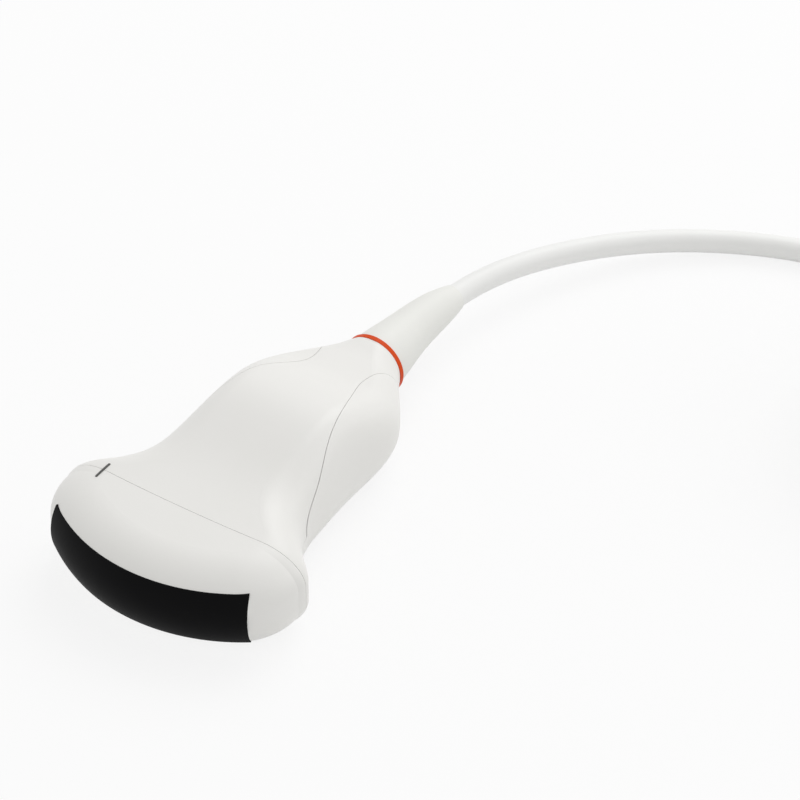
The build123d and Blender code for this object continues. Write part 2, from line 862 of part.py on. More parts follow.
with BuildPart() as plug_upper_shell:
    add(plug_shell.part)
    split(bisect_by=Plane.XY.offset(shaft_z), keep=Keep.TOP)
with BuildPart() as plug_lower_shell:
    add(plug_shell.part)
    split(bisect_by=Plane.XY.offset(shaft_z), keep=Keep.BOTTOM)

with BuildPart() as plug_screws:
    for x, y in plug_screw_spots:
        head_top = screw_seat + plug_screw_head_height
        add(upright_cylinder(x, y, plug_rest + plug_wall, screw_seat, plug_screw_radius))
        add(upright_cylinder(x, y, screw_seat, head_top, plug_screw_head_radius))

frame_length = plug_length - 2 * frame_step
frame_height = plug_height - 2 * frame_step
block_length = frame_length - 2 * frame_wall
block_height = frame_height - 2 * frame_wall
with BuildPart() as plug_front_frame:
    with BuildSketch(upright.offset(frame_front)):
        RectangleRounded(frame_length, frame_height, plug_round - frame_step)
        Rectangle(block_length, block_height, mode=Mode.SUBTRACT)
    extrude(amount=frame_depth)

contact_spots = [
    (column * contact_pitch, row * contact_pitch)
    for column in [i - (contact_columns - 1) / 2 for i in range(contact_columns)]
    for row in [i - (contact_rows - 1) / 2 for i in range(contact_rows)]
    if math.hypot(column * contact_pitch, row * contact_pitch) > contact_keep_out
]
block_front = frame_front + block_recess
with BuildPart() as contact_block:
    with BuildSketch(upright.offset(block_front)):
        Rectangle(block_length, block_height)
        with Locations(*contact_spots):
            Circle(contact_radius, mode=Mode.SUBTRACT)
        Circle(lock_shaft_radius + lock_fit, mode=Mode.SUBTRACT)
    extrude(amount=plug_front - block_front)

with BuildPart() as plug_contacts:
    with BuildSketch(upright.offset(block_front - contact_proud)):
        with Locations(*contact_spots):
            Circle(contact_radius)
    extrude(amount=plug_board_front - block_front + contact_proud)

with BuildPart() as plug_board:
    with BuildSketch(upright.offset(plug_board_front)):
        Rectangle(block_length - 2 * plug_board_play, block_height - 2 * plug_board_play)
        Circle(lock_shaft_radius + plug_board_play, mode=Mode.SUBTRACT)
    extrude(amount=plug_board_thickness)

# Lock
# A quarter turn of the knob turns the shaft and its cam, which draws the connector home.
knob_front = plug_back + lock_gap
with BuildPart() as lock_shaft:
    cam_back = block_front - lock_gap
    cam_front = cam_back - lock_cam_thickness
    add(along_lock(cam_front, knob_front + knob_thickness, lock_shaft_radius))
    with BuildSketch(upright.offset(cam_front)):
        SlotOverall(lock_cam_length, lock_cam_width)
    extrude(amount=lock_cam_thickness)

with BuildPart() as lock_knob:
    add(along_lock(knob_front, knob_front + knob_thickness, knob_radius))
    fillet(lock_knob.faces().sort_by(Axis.Y)[-1].edges(), grip_round / 2)
    with BuildSketch(upright.offset(knob_front + knob_thickness / 2)):
        RectangleRounded(grip_length, grip_width, grip_round)
    extrude(amount=knob_thickness / 2 + grip_thickness)
    fillet(lock_knob.faces().sort_by(Axis.Y)[-1].edges(), grip_round / 2)
    add(along_lock(knob_front, knob_front + knob_thickness, lock_shaft_radius), mode=Mode.SUBTRACT)

with BuildPart() as lock_clip:
    clip_back = plug_back - plug_wall - lock_gap
    clip_outer = lock_shaft_radius + plug_wall
    add(along_lock(clip_back - clip_thickness, clip_back, clip_outer, lock_shaft_radius))

# Connector's strain relief and lead
with BuildPart() as plug_relief:
    with BuildSketch(lead_plane.offset(lead_end)):
        Circle(plug_relief_radius)
    extrude(amount=plug_wall + plug_relief_neck)
    with BuildSketch(lead_plane.offset(plug_back)):
        Circle(plug_relief_radius + plug_relief_collar)
    with BuildSketch(lead_plane.offset(relief_end)):
        Circle(relief_tip_radius)
    loft()
    with BuildSketch(lead_plane.offset(lead_end - overrun)):
        Circle(cable_radius + bore_clearance)
    extrude(until=Until.LAST, mode=Mode.SUBTRACT)

# The cable's last stretch rises from the top of the coil, rounds its far side and comes back into the
# connector. Its points were chosen by hand, but for the last two, which are on the connector's relief.
lead_route = [
    (85.1, -157.8, 23.4),
    (78.2, -143.9, 26.8),
    (77.8, -128.3, 29.5),
    (83.5, -113.8, 30.7),
    (94.2, -102.8, 32.3),
    (106.7, -97.6, 34.5),
    (120.3, -97.6, 37.1),
    (132.8, -102.8, 39.5),
    (142.3, -112.3, 41.3),
    (lead_x, -124.8, shaft_z),
    (lead_x, relief_end - plug_relief_length / 2, shaft_z),
]
with BuildPart() as plug_lead:
    tube, line_length = round_tube(lead_route, cable_radius)
    add(tube)
    with BuildSketch(lead_plane.offset(lead_end)):
        Circle(cable_radius)
    extrude(amount=plug_wall + plug_relief_neck + plug_relief_length / 2)
print("lead arc radii", [round(r, 1) for r in route_radii(lead_route)])
print("lead line", round(line_length, 1))

finish(lens, "lens")
finish(nose_cap, "nose_cap")
finish(upper_cover, "upper_cover")
finish(lower_cover, "lower_cover")
finish(seam_seal, "seam_seal")
finish(orientation_mark, "orientation_mark")
finish(matching_layer_outer, "matching_layer_outer")
finish(matching_layer_inner, "matching_layer_inner")
finish(element_array, "element_array")
finish(backing_block, "backing_block")
finish(array_carrier, "array_carrier")
finish(flex_circuit_upper, "flex_circuit_upper")
finish(flex_circuit_lower, "flex_circuit_lower")
finish(board_upper, "board_upper")
finish(board_lower, "board_lower")
finish(board_spacers, "board_spacers")
finish(board_screws, "board_screws")
finish(chassis, "chassis")
finish(chassis_screws, "chassis_screws")
finish(coax_socket_upper, "coax_socket_upper")
finish(coax_socket_lower, "coax_socket_lower")
finish(coax_harness, "coax_harness")
finish(cable_clamp_upper, "cable_clamp_upper")
finish(cable_clamp_lower, "cable_clamp_lower")
finish(clamp_screws, "clamp_screws")
finish(crimp_ferrule, "crimp_ferrule")
finish(strain_relief, "strain_relief")
finish(relief_clip, "relief_clip")
finish(gland_seal, "gland_seal")
finish(ident_ring, "ident_ring")
finish(cable, "cable")
finish(cable_coil, "cable_coil")
finish(coil_tie, "coil_tie")
finish(plug_upper_shell, "plug_upper_shell")
finish(plug_lower_shell, "plug_lower_shell")
finish(plug_screws, "plug_screws")
finish(plug_front_frame, "plug_front_frame")
finish(contact_block, "contact_block")
finish(plug_contacts, "plug_contacts")
finish(plug_board, "plug_board")
finish(lock_shaft, "lock_shaft")
finish(lock_knob, "lock_knob")
finish(lock_clip, "lock_clip")
finish(plug_relief, "plug_relief")
finish(plug_lead, "plug_lead")
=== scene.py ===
# %% [markdown]
# A curved-array ultrasound probe for scanning the belly. It is a black curved lens in a wide ivory
# nose, a waisted handle made of two covers, a thin orange ring, a soft boot and a pale cable that
# ends in a connector. The solids come in finished, in metres, and this notebook adds the picture
# around them: the camera, the cable as one soft line, the tie, the finishes and the light.

# %% Load the probe's solids
import json
import math

import bpy
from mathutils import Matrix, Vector


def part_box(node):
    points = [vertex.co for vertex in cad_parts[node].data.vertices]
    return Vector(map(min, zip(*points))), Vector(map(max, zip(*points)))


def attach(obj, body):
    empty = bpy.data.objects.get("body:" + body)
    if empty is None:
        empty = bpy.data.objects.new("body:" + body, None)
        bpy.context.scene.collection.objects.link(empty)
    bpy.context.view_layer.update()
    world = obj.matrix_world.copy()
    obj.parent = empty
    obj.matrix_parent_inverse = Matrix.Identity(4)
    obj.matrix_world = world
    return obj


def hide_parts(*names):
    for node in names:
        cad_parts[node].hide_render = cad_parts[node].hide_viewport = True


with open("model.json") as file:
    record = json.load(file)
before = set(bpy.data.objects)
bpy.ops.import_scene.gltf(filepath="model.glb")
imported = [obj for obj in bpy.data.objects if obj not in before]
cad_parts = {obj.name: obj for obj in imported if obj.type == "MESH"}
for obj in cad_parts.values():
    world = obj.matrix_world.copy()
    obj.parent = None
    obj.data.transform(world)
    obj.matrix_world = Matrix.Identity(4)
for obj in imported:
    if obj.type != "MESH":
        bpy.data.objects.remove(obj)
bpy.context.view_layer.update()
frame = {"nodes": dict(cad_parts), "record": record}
nodes = frame["nodes"]
mm = 0.001

# %% [markdown]
# The photograph was taken from the lens's end, from the right and from above, at a working distance
# of about a metre with a long lens. The look direction is set by two angles, and the distance is
# measured from the point that the picture is centred on. A camera is aimed by turning it with
# to_track_quat, so no angle has to be worked out by hand.

# %% The camera
view_azimuth = math.radians(-56.16)
view_elevation = math.radians(40.14)
camera_distance = 1.0
lens_length = 176.9
sensor_width = 36
nearest_seen = 0.05
aim = Vector((12.5 * mm, -24.6 * mm, 28.4 * mm))
back = Vector(
    (
        math.sin(view_azimuth) * math.cos(view_elevation),
        -math.cos(view_azimuth) * math.cos(view_elevation),
        math.sin(view_elevation),
    )
)
bpy.ops.object.camera_add(location=aim + camera_distance * back)
camera = bpy.context.object
camera.name = "photo_camera"
camera.rotation_euler = back.to_track_quat("Z", "Y").to_euler()
camera.data.lens = lens_length
camera.data.sensor_width = sensor_width
camera.data.clip_start = nearest_seen
bpy.context.scene.camera = camera
print("camera", [round(v, 3) for v in camera.location])

# %% [markdown]
# The cable is one length of round elastomer about two metres long. It leaves the handle's collar,
# runs through the boot, sinks to the table and goes off to the right. What the photograph doesn't
# show is wound into a neat coil beside the view, and its end goes into the connector, which lies on
# the coil. A NURBS curve of order 3 suits it: its points are the corners of the route, and the line
# rounds every one.

# %% The cable's route, up to the coil
ring_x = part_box("ident_ring")[0][0]
mid_z = 12.1 * mm
cable_diameter = 6.5 * mm
cable_radius = cable_diameter / 2
straight_run = 24.0 * mm
on_table = 3.45 * mm
route = [
    (ring_x, 0, mid_z),
    (ring_x + straight_run, 0, mid_z),
    (86.8 * mm, -3.4 * mm, 10.9 * mm),
    (111.5 * mm, -14.0 * mm, 7.9 * mm),
    (133.7 * mm, -30.7 * mm, 4.7 * mm),
    (149.1 * mm, -54.1 * mm, on_table),
    (155.5 * mm, -76.5 * mm, on_table),
    (157.3 * mm, -101.5 * mm, on_table),
]
print("route points", len(route))

# %% [markdown]
# The coil is eight turns, two beside each other in four layers, wound clockwise as seen from above.
# A real coil is wound turn by turn, so each turn of this one keeps its place in the bundle for most
# of the way round and then moves over or up to the next place. Each later turn makes its move a
# little earlier, so that its place is free when the turn before it arrives.

# %% The places of the turns
coil_low, coil_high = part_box("cable_coil")
coil_middle = Vector(((coil_low[0] + coil_high[0]) / 2, (coil_low[1] + coil_high[1]) / 2))
coil_radius = 35.9 * mm
column_gap = 0.05 * mm
layer_gap = 0.1 * mm
column_pitch = cable_diameter + column_gap
layer_pitch = cable_diameter + layer_gap
layer_count = 4
lowest_turn = cable_radius + layer_gap
columns = (coil_radius + column_pitch / 2, coil_radius - column_pitch / 2)
turns = []
for layer in range(layer_count):
    for column in columns if layer % 2 == 0 else reversed(columns):
        turns.append((column, lowest_turn + layer * layer_pitch))
bundle = list(turns)
turns.append((columns[0], lowest_turn + layer_count * layer_pitch))
print("places in the bundle", len(bundle))

# %% [markdown]
# The turns are points on circles, sixteen to a turn. The line of a NURBS curve runs a little inside
# its points, so the circles are drawn larger by one over the cosine of half a step. Where the tie
# passes under the bundle, one point of each turn is lifted over it. The line reaches three quarters
# of a single point's lift, so the point is lifted by a third more.

# %% The coil's turns
steps_in_turn = 16
step_angle = 2 * math.pi / steps_in_turn
outside_share = 1 / math.cos(step_angle / 2)
coil_turns = 7.5
coil_steps = round(coil_turns * steps_in_turn)
start_angle = math.radians(1)
tie_angle = start_angle
tie_thickness = 1.2 * mm
lift_reached = 0.75
point_lift = tie_thickness / lift_reached
first_move = 0.76
move_share = 0.2
earlier_share = 0.057


def angle_apart(a, b):
    """The smaller angle between two headings."""
    return abs((a - b + math.pi) % (2 * math.pi) - math.pi)


def coil_place(turned):
    """Radius and height of the line after so many turns."""
    index = int(turned)
    start = first_move - earlier_share * index
    moved = min(1.0, max(0.0, (turned - index - start) / move_share))
    ease = moved * moved * (3 - 2 * moved)
    before, after = turns[index], turns[index + 1]
    return before[0] + (after[0] - before[0]) * ease, before[1] + (after[1] - before[1]) * ease


coil_route = []
for step in range(coil_steps + 1):
    angle = start_angle - step * step_angle
    radius, height = coil_place(step / steps_in_turn)
    if angle_apart(angle, tie_angle) < step_angle / 2:
        height += point_lift
    spread = radius * outside_share
    coil_route.append(
        (coil_middle.x + spread * math.cos(angle), coil_middle.y + spread * math.sin(angle), height)
    )
print("coil points", len(coil_route))

# %% [markdown]
# The last stretch rides on top of the coil, rises round its far side and comes back into the
# connector's boot along the boot's own axis. Then the whole line is made: the points go in first, and
# the order and the end rule are set after them, because they are lost if they are set before. A
# curve's box counts each point with its radius, so the points carry the cable's radius and the
# bevel's depth is one.

# %% The cable as one curve
relief_low, relief_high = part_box("plug_relief")
lead_x = (relief_low[0] + relief_high[0]) / 2
lead_z = (relief_low[2] + relief_high[2]) / 2
boot_entry = 6.0 * mm
end_margin = 1.0 * mm
lead_route = [
    (77.8 * mm, -128.3 * mm, 29.5 * mm),
    (83.5 * mm, -113.8 * mm, 30.7 * mm),
    (94.2 * mm, -102.8 * mm, 32.3 * mm),
    (106.7 * mm, -97.6 * mm, 34.5 * mm),
    (120.3 * mm, -97.6 * mm, 37.1 * mm),
    (132.8 * mm, -102.8 * mm, 39.5 * mm),
    (142.3 * mm, -112.3 * mm, 41.3 * mm),
    (lead_x, -124.8 * mm, lead_z),
    (lead_x, relief_high[1] - boot_entry, lead_z),
    (lead_x, relief_low[1] + end_margin, lead_z),
]
cable_points = route + coil_route + lead_route

curve = bpy.data.curves.new("cable_line", "CURVE")
curve.dimensions = "3D"
spline = curve.splines.new("NURBS")
spline.points.add(len(cable_points) - 1)
for point, place in zip(spline.points, cable_points):
    point.co = (*place, 1)
    point.radius = cable_radius
spline.order_u = 3
spline.use_endpoint_u = True
spline.resolution_u = 6
curve.bevel_depth = 1.0
curve.bevel_resolution = 7
curve.use_fill_caps = True
cable = bpy.data.objects.new("cable_line", curve)
bpy.context.collection.objects.link(cable)
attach(cable, "root")
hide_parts("cable", "cable_coil", "plug_lead")
print("cable points", len(cable_points))

# %% [markdown]
# The tie is a soft strap round the bundle, with a button that holds its end. Its outline is the shape
# that a tight band takes round the turns: straight where it spans two of them and round at the
# corners. It starts as an open cylinder with as many sides as the outline has points, each ring of
# points is moved to the outline, and Solidify gives the strap its thickness.

# %% The tie's strap
tie_width = 9.0 * mm
tie_sides = 48
strap_clearance = 0.15 * mm
strap_edge = 0.3 * mm
bundle_middle = (coil_radius, tie_thickness + lowest_turn + (layer_count - 1) / 2 * layer_pitch)


def strap_reach(heading):
    """How far the strap's inner face is from the bundle's middle in one direction."""
    reach = 0.0
    for radius, height in bundle:
        across = (radius - bundle_middle[0]) * math.cos(heading)
        up = (height + tie_thickness - bundle_middle[1]) * math.sin(heading)
        reach = max(reach, across + up + cable_radius)
    return reach


def strap_spot(first, second):
    """Where the strap's tangent lines in two neighbouring directions cross."""
    reach_a, reach_b = strap_reach(first), strap_reach(second)
    turn = math.sin(second - first)
    across = (reach_a * math.sin(second) - reach_b * math.sin(first)) / turn
    up = (reach_b * math.cos(first) - reach_a * math.cos(second)) / turn
    return bundle_middle[0] + across, bundle_middle[1] + up


side_angle = 2 * math.pi / tie_sides
outline = [strap_spot(i * side_angle, (i + 1) * side_angle) for i in range(tie_sides)]
outward = Vector((math.cos(tie_angle), math.sin(tie_angle), 0))
along_bundle = Vector((-outward.y, outward.x, 0))
bpy.ops.object.select_all(action="DESELECT")
bpy.ops.mesh.primitive_cylinder_add(
    vertices=tie_sides, radius=1, depth=tie_width, end_fill_type="NOTHING"
)
tie = bpy.context.object
tie.name = "storage_tie"
for vertex in tie.data.vertices:
    index = round(math.atan2(vertex.co.y, vertex.co.x) / side_angle) % tie_sides
    reach, height = outline[index]
    foot = Vector((coil_middle.x, coil_middle.y, height))
    vertex.co = foot + reach * outward + vertex.co.z * along_bundle
bpy.ops.object.mode_set(mode="EDIT")
bpy.ops.mesh.select_all(action="SELECT")
bpy.ops.mesh.normals_make_consistent(inside=False)
bpy.ops.object.mode_set(mode="OBJECT")
solidify = tie.modifiers.new("thickness", "SOLIDIFY")
solidify.thickness = tie_thickness - strap_clearance
solidify.offset = 1
bevel = tie.modifiers.new("soft_edge", "BEVEL")
bevel.width = strap_edge
bevel.segments = 2
bevel.angle_limit = math.radians(50)
for modifier in ("thickness", "soft_edge"):
    bpy.ops.object.modifier_apply(modifier=modifier)
bpy.ops.object.shade_smooth_by_angle(angle=math.radians(40))
tie_top = max(vertex.co.z for vertex in tie.data.vertices)
print("strap faces", len(tie.data.polygons))

# %% [markdown]
# The button is a small round head, as on a silicone cable strap. It starts as a short cylinder. Its
# top is inset and pushed down for the shallow dish that such a button has, and its rims are bevelled.

# %% The tie's button
button_radius = 3.0 * mm
button_height = 1.6 * mm
button_sink = 0.2 * mm
button_rim = 0.9 * mm
dish_depth = 0.4 * mm
rim_round = 0.3 * mm
button_spot = coil_middle.to_3d() + coil_radius * outward
button_spot.z = tie_top + button_height / 2 - button_sink
bpy.ops.object.select_all(action="DESELECT")
bpy.ops.mesh.primitive_cylinder_add(
    vertices=32, radius=button_radius, depth=button_height, location=button_spot
)
button = bpy.context.object
bpy.ops.object.transform_apply(location=True)
bpy.ops.object.mode_set(mode="EDIT")
bpy.ops.mesh.select_all(action="DESELECT")
bpy.ops.object.mode_set(mode="OBJECT")
for face in button.data.polygons:
    face.select = face.normal.z > 0.9
bpy.ops.object.mode_set(mode="EDIT")
bpy.ops.mesh.inset(thickness=button_rim)
bpy.ops.transform.translate(value=(0, 0, -dish_depth))
bpy.ops.object.mode_set(mode="OBJECT")
rim = button.modifiers.new("rim", "BEVEL")
rim.width = rim_round
rim.segments = 3
rim.angle_limit = math.radians(30)
bpy.ops.object.modifier_apply(modifier="rim")
bpy.ops.object.shade_smooth_by_angle(angle=math.radians(35))
tie.select_set(True)
bpy.context.view_layer.objects.active = tie
bpy.ops.object.join()
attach(tie, "root")
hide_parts("coil_tie")
print("tie faces", len(tie.data.polygons))

# %% [markdown]
# The connector's parts come from the solids and lie on the cable's far end.

# %% [markdown]
# Moulded plastic isn't one flat colour. The mould leaves a very fine grain, the resin varies a little
# from place to place, and hands polish some parts. Several finishes need that, so it is one node
# group: it takes two colours, a roughness and a grain, and gives a colour, a roughness and a normal.
# In Blender 4.5 a group's sockets are made on its interface.

# %% The moulded group's sockets
def add_node(tree, kind, **values):
    """A node with its plain settings."""
    node = tree.nodes.new(kind)
    for name, value in values.items():
        setattr(node, name, value)
    return node


def group_input(name, kind, value, low=None, high=None):
    """One named input of the moulded group."""
    socket = moulded_surface.interface.new_socket(name=name, in_out="INPUT", socket_type=kind)
    socket.default_value = value
    if low is not None:
        socket.min_value = low
        socket.max_value = high


moulded_surface = bpy.data.node_groups.new("moulded_surface", "ShaderNodeTree")
group_input("Colour", "NodeSocketColor", (0.8, 0.8, 0.8, 1))
group_input("Second colour", "NodeSocketColor", (0.7, 0.7, 0.7, 1))
group_input("Roughness", "NodeSocketFloat", 0.4, 0, 1)
group_input("Roughness spread", "NodeSocketFloat", 0.05, 0, 1)
group_input("Grain scale", "NodeSocketFloat", 2500, 0, 20000)
group_input("Grain strength", "NodeSocketFloat", 0.05, 0, 1)
outputs = {"Colour": "NodeSocketColor", "Roughness": "NodeSocketFloat", "Normal": "NodeSocketVector"}
for name, kind in outputs.items():
    moulded_surface.interface.new_socket(name=name, in_out="OUTPUT", socket_type=kind)
given = add_node(moulded_surface, "NodeGroupInput")
result = add_node(moulded_surface, "NodeGroupOutput")
place = add_node(moulded_surface, "ShaderNodeTexCoord")
print("group sockets", len(moulded_surface.interface.items_tree))

# %% [markdown]
# The colour drifts between two close tones over a few centimetres, as resin does where it flowed and
# cooled at different speeds, so a large soft noise mixes the two. A Mix node keeps a set of sockets
# for each kind of value, and its colours have the numbers that are named here.

# %% The moulded group's colour
cloud_scale = 38
mix_first, mix_second, mix_result = 6, 7, 2
cloud = add_node(moulded_surface, "ShaderNodeTexNoise")
cloud.inputs["Scale"].default_value = cloud_scale
cloud.inputs["Detail"].default_value = 4
blend = add_node(moulded_surface, "ShaderNodeMix", data_type="RGBA")
for start, end in (
    (place.outputs["Object"], cloud.inputs["Vector"]),
    (cloud.outputs["Fac"], blend.inputs["Factor"]),
    (given.outputs["Colour"], blend.inputs[mix_first]),
    (given.outputs["Second colour"], blend.inputs[mix_second]),
    (blend.outputs[mix_result], result.inputs["Colour"]),
):
    moulded_surface.links.new(start, end)
print("group nodes", len(moulded_surface.nodes))

# %% [markdown]
# Handling leaves patches a few millimetres wide that are a little smoother or duller. A second noise,
# centred on zero, is scaled by the spread and added to the roughness that the finish asks for.

# %% The moulded group's roughness
rub_scale = 170
rub = add_node(moulded_surface, "ShaderNodeTexNoise")
rub.inputs["Scale"].default_value = rub_scale
rub.inputs["Detail"].default_value = 6
centred = add_node(moulded_surface, "ShaderNodeMath", operation="SUBTRACT")
centred.inputs[1].default_value = 0.5
spread = add_node(moulded_surface, "ShaderNodeMath", operation="MULTIPLY_ADD")
for start, end in (
    (place.outputs["Object"], rub.inputs["Vector"]),
    (rub.outputs["Fac"], centred.inputs[0]),
    (centred.outputs[0], spread.inputs[0]),
    (given.outputs["Roughness spread"], spread.inputs[1]),
    (given.outputs["Roughness"], spread.inputs[2]),
    (spread.outputs[0], result.inputs["Roughness"]),
):
    moulded_surface.links.new(start, end)
print("group nodes", len(moulded_surface.nodes))

# %% [markdown]
# The mould's own surface is etched, which shows as a grain of less than half a millimetre. It is too
# fine to model, so a Bump node turns a fine noise into a normal.

# %% The moulded group's grain
grain_height = 0.0002
grain = add_node(moulded_surface, "ShaderNodeTexNoise")
grain.inputs["Detail"].default_value = 3
bump = add_node(moulded_surface, "ShaderNodeBump")
bump.inputs["Distance"].default_value = grain_height
for start, end in (
    (place.outputs["Object"], grain.inputs["Vector"]),
    (given.outputs["Grain scale"], grain.inputs["Scale"]),
    (given.outputs["Grain strength"], bump.inputs["Strength"]),
    (grain.outputs["Fac"], bump.inputs["Height"]),
    (bump.outputs["Normal"], result.inputs["Normal"]),
):
    moulded_surface.links.new(start, end)
print("group nodes", len(moulded_surface.nodes))

# %% [markdown]
# Every finish that is moulded, rubbery or painted is then the same few lines: a Principled shader
# with the group in front of it. What is the same all over the surface, such as metallic, sheen or
# coat, is set on the shader itself.

# %% Moulded finishes
def srgb(red, green, blue):
    """A colour as it shows on a screen, 0 to 255, as linear values."""
    linear = []
    for value in (red, green, blue):
        part = value / 255
        linear.append(part / 12.92 if part <= 0.04045 else ((part + 0.055) / 1.055) ** 2.4)
    return (*linear, 1)


def moulded(name, colour, second, roughness, spread=0.06, grain=2500, strength=0.04, **plain):
    """A moulded finish with its fine grain and its slow change of colour."""
    material = bpy.data.materials.new(name)
    material.use_nodes = True
    tree = material.node_tree
    shader = tree.nodes["Principled BSDF"]
    for socket, value in plain.items():
        shader.inputs[socket.replace("_", " ")].default_value = value
    surface = add_node(tree, "ShaderNodeGroup")
    surface.node_tree = moulded_surface
    surface.inputs["Colour"].default_value = colour
    surface.inputs["Second colour"].default_value = second
    surface.inputs["Roughness"].default_value = roughness
    surface.inputs["Roughness spread"].default_value = spread
    surface.inputs["Grain scale"].default_value = grain
    surface.inputs["Grain strength"].default_value = strength
    tree.links.new(surface.outputs["Colour"], shader.inputs["Base Color"])
    tree.links.new(surface.outputs["Roughness"], shader.inputs["Roughness"])
    tree.links.new(surface.outputs["Normal"], shader.inputs["Normal"])
    return material


finishes = {
    "housing": moulded("ivory_housing", srgb(238, 237, 234), srgb(235, 234, 230), 0.42),
    "lens": moulded(
        "black_lens", srgb(10, 10, 11), srgb(7, 7, 8), 0.55, 0.08, 900, 0.02, Specular_IOR_Level=0.06
    ),
    "mark": moulded("dark_mark", srgb(74, 74, 70), srgb(62, 62, 59), 0.45),
    "ring": moulded(
        "orange_ring", srgb(226, 84, 20), srgb(206, 60, 10), 0.45, Specular_IOR_Level=0.15
    ),
    "relief": moulded("ivory_boot", srgb(237, 237, 233), srgb(233, 233, 228), 0.5),
    "cable_jacket": moulded("pale_jacket", srgb(244, 244, 242), srgb(240, 240, 238), 0.48),
    "tie": moulded("grey_tie", srgb(70, 72, 75), srgb(60, 61, 64), 0.65, 0.1, 1400, 0.15),
    "seal": moulded("black_seal", srgb(30, 30, 30), srgb(24, 24, 24), 0.6),
    "matching": moulded("matching_resin", srgb(110, 120, 135), srgb(98, 108, 124), 0.5),
    "ceramic": moulded("fired_ceramic", srgb(216, 206, 184), srgb(200, 190, 166), 0.55),
    "backing": moulded("filled_backing", srgb(96, 90, 84), srgb(78, 73, 68), 0.7, 0.1, 1200, 0.2),
    "carrier": moulded("grey_carrier", srgb(120, 121, 124), srgb(108, 109, 113), 0.5),
    "flex": moulded("amber_film", srgb(205, 142, 48), srgb(190, 124, 36), 0.3),
    "board": moulded("green_board", srgb(28, 104, 62), srgb(22, 88, 52), 0.35),
    "socket": moulded("black_socket", srgb(36, 36, 38), srgb(30, 30, 31), 0.45),
    "core": moulded("core_tape", srgb(176, 180, 188), srgb(160, 164, 173), 0.35),
    "clamp": moulded("black_clamp", srgb(52, 52, 55), srgb(44, 44, 47), 0.5),
    "plug_housing": moulded("grey_plug_shell", srgb(222, 222, 219), srgb(217, 217, 213), 0.45),
    "contact_block": moulded("black_contact_block", srgb(38, 38, 41), srgb(32, 32, 34), 0.4),
    "knob": moulded("grey_knob", srgb(96, 99, 104), srgb(86, 89, 94), 0.42),
}
print("moulded finishes", len(finishes))

# %% [markdown]
# The metal parts are few and small: screws, pins, clips and frames. A turned or rolled metal shows
# fine lines along its length, which a noise stretched by a Mapping node gives. The lines change the
# roughness and the height a little, and the metal's colour stays nearly even.

# %% Metal finishes
line_scale = 1000
line_height = 0.0002
line_strength = 0.08
dark_share = 0.86
smoother, rougher = 0.06, 0.1


def metal(name, colour, roughness, stretch):
    """A metal with fine lines, longest along the axis with the smallest stretch."""
    material = bpy.data.materials.new(name)
    material.use_nodes = True
    tree = material.node_tree
    shader = tree.nodes["Principled BSDF"]
    shader.inputs["Metallic"].default_value = 1
    place = add_node(tree, "ShaderNodeTexCoord")
    mapping = add_node(tree, "ShaderNodeMapping")
    mapping.inputs["Scale"].default_value = stretch
    lines = add_node(tree, "ShaderNodeTexNoise")
    lines.inputs["Scale"].default_value = line_scale
    lines.inputs["Detail"].default_value = 4
    tree.links.new(place.outputs["Object"], mapping.inputs["Vector"])
    tree.links.new(mapping.outputs["Vector"], lines.inputs["Vector"])
    tone = add_node(tree, "ShaderNodeMix", data_type="RGBA")
    tone.inputs[mix_first].default_value = colour
    tone.inputs[mix_second].default_value = (*(part * dark_share for part in colour[:3]), 1)
    tree.links.new(lines.outputs["Fac"], tone.inputs["Factor"])
    tree.links.new(tone.outputs[mix_result], shader.inputs["Base Color"])
    gloss = add_node(tree, "ShaderNodeMapRange")
    gloss.inputs["To Min"].default_value = roughness - smoother
    gloss.inputs["To Max"].default_value = roughness + rougher
    tree.links.new(lines.outputs["Fac"], gloss.inputs["Value"])
    tree.links.new(gloss.outputs["Result"], shader.inputs["Roughness"])
    bump = add_node(tree, "ShaderNodeBump")
    bump.inputs["Strength"].default_value = line_strength
    bump.inputs["Distance"].default_value = line_height
    tree.links.new(lines.outputs["Fac"], bump.inputs["Height"])
    tree.links.new(bump.outputs["Normal"], shader.inputs["Normal"])
    return material


finishes["steel"] = metal("plain_steel", srgb(196, 197, 199), 0.34, (1, 1, 0.2))
finishes["shaft_steel"] = metal("turned_steel", srgb(190, 191, 194), 0.28, (1, 0.1, 1))
finishes["brass"] = metal("pin_brass", srgb(222, 188, 110), 0.26, (1, 0.2, 1))
finishes["chassis"] = metal("brushed_aluminium", srgb(204, 206, 209), 0.38, (0.08, 1, 1))
finishes["ferrule"] = metal("crimp_brass", srgb(214, 180, 104), 0.32, (0.2, 1, 1))
print("all finishes", len(finishes))

# %% [markdown]
# The record says for each solid which finish it has, by the name of its material slot. So the
# finishes above are kept under those names, and one loop dresses all the solids. The cable and the
# tie are new pieces and get theirs by hand.

# %% Dress every solid and new piece
slot_of = {part["node"]: part["material_slot"] for part in frame["record"]["subparts"]}
for name, solid in nodes.items():
    finish = finishes[slot_of[name]]
    if not solid.material_slots:
        solid.data.materials.append(finish)
    for material_slot in solid.material_slots:
        material_slot.material = finish
cable.data.materials.append(finishes["cable_jacket"])
tie.data.materials.append(finishes["tie"])
print("dressed", len(slot_of))

# %% [markdown]
# The photograph's ground is plain white. The floor here is a large pale sheet that takes the soft
# shadow of the probe, and to the camera it also gives off some white of its own, so that away from
# the shadow it reads as white without any more light on the probe. Light Path tells a material which
# kind of ray has met it. The camera's own rays, mirror rays and rays through glass see that white,
# and the rays that carry light to the probe don't.

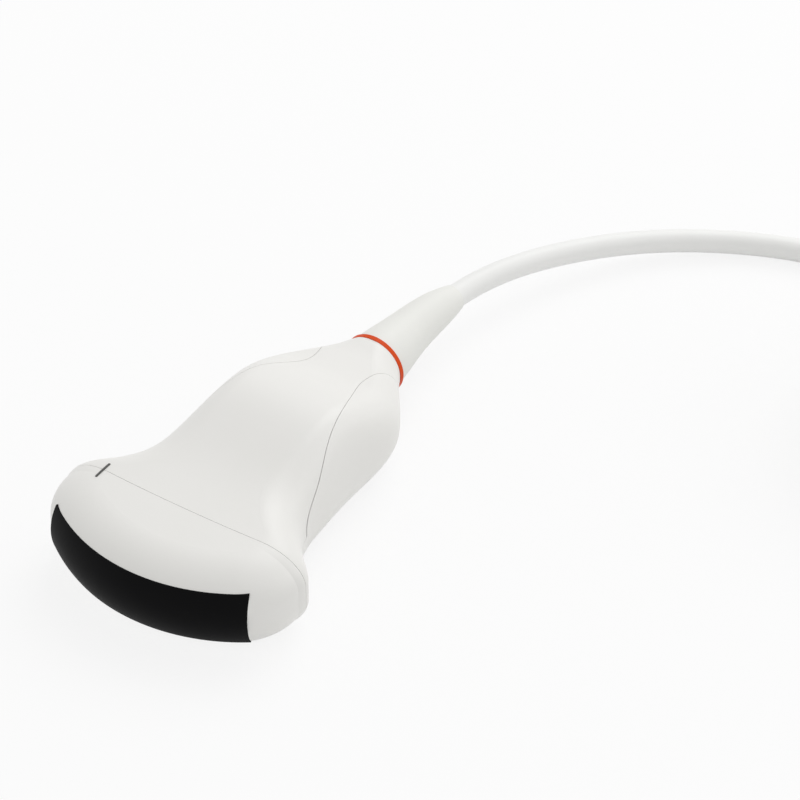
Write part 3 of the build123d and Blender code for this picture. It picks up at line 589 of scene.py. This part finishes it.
# %% The floor
def sight_rays(tree):
    """One for rays of the camera, a reflection or a glass, and zero for rays that bring light."""
    rays = add_node(tree, "ShaderNodeLightPath")
    seen = rays.outputs["Is Camera Ray"]
    for kind in ("Is Glossy Ray", "Is Transmission Ray"):
        either = add_node(tree, "ShaderNodeMath", operation="MAXIMUM")
        tree.links.new(seen, either.inputs[0])
        tree.links.new(rays.outputs[kind], either.inputs[1])
        seen = either.outputs[0]
    return seen


floor_size = 6.0
floor_drop = 0.1 * mm
floor_tone = 0.92
floor_white = 0.82
bpy.ops.object.select_all(action="DESELECT")
bpy.ops.mesh.primitive_plane_add(size=floor_size, location=(0, 0, -floor_drop))
floor = bpy.context.object
floor.name = "floor"
floor_finish = bpy.data.materials.new("pale_floor")
floor_finish.use_nodes = True
tree = floor_finish.node_tree
shader = tree.nodes["Principled BSDF"]
shader.inputs["Base Color"].default_value = (floor_tone, floor_tone, floor_tone, 1)
shader.inputs["Roughness"].default_value = 0.9
shader.inputs["Specular IOR Level"].default_value = 0.1
glow = add_node(tree, "ShaderNodeEmission")
glow.inputs["Strength"].default_value = 1.0
share = add_node(tree, "ShaderNodeMath", operation="MULTIPLY")
share.inputs[1].default_value = floor_white
tree.links.new(sight_rays(tree), share.inputs[0])
both = add_node(tree, "ShaderNodeMixShader")
tree.links.new(share.outputs[0], both.inputs["Fac"])
tree.links.new(shader.outputs["BSDF"], both.inputs[1])
tree.links.new(glow.outputs["Emission"], both.inputs[2])
tree.links.new(both.outputs["Shader"], tree.nodes["Material Output"].inputs["Surface"])
floor.data.materials.append(floor_finish)
print("floor", floor_size, "m wide, white share", floor_white)

# %% [markdown]
# The light is a bright white room: an even white world, one soft lamp high behind the cable's end,
# and a weaker one to its right. So the nose, which rolls down towards the camera, is a little darker
# than the handle, as in the photograph. Together they add up to about one on a surface that faces
# up, and colours render about as they are written. The room looks white wherever it is seen, and
# gives the probe two thirds of that light.

# %% The light
world = bpy.data.worlds.new("white_room")
bpy.context.scene.world = world
world.use_nodes = True
sky = world.node_tree.nodes["Background"]
sky.inputs["Color"].default_value = (1, 1, 1, 1)
sky_light = 0.68
brightness = add_node(world.node_tree, "ShaderNodeMath", operation="MULTIPLY_ADD")
brightness.inputs[1].default_value = 1 - sky_light
brightness.inputs[2].default_value = sky_light
world.node_tree.links.new(sight_rays(world.node_tree), brightness.inputs[0])
world.node_tree.links.new(brightness.outputs[0], sky.inputs["Strength"])


def soft_lamp(name, place, size, power):
    """A square area lamp aimed at the probe."""
    bpy.ops.object.light_add(type="AREA", location=place)
    lamp = bpy.context.object
    lamp.name = name
    lamp.data.size = size
    lamp.data.energy = power
    lamp.rotation_euler = (Vector(place) - aim).to_track_quat("Z", "Y").to_euler()


soft_lamp("key_lamp", place=(1.0, 0.1, 1.1), size=0.9, power=6.4)
soft_lamp("fill_lamp", place=(0.95, -0.95, 0.7), size=0.9, power=2.5)
bpy.context.scene.view_settings.view_transform = "Standard"
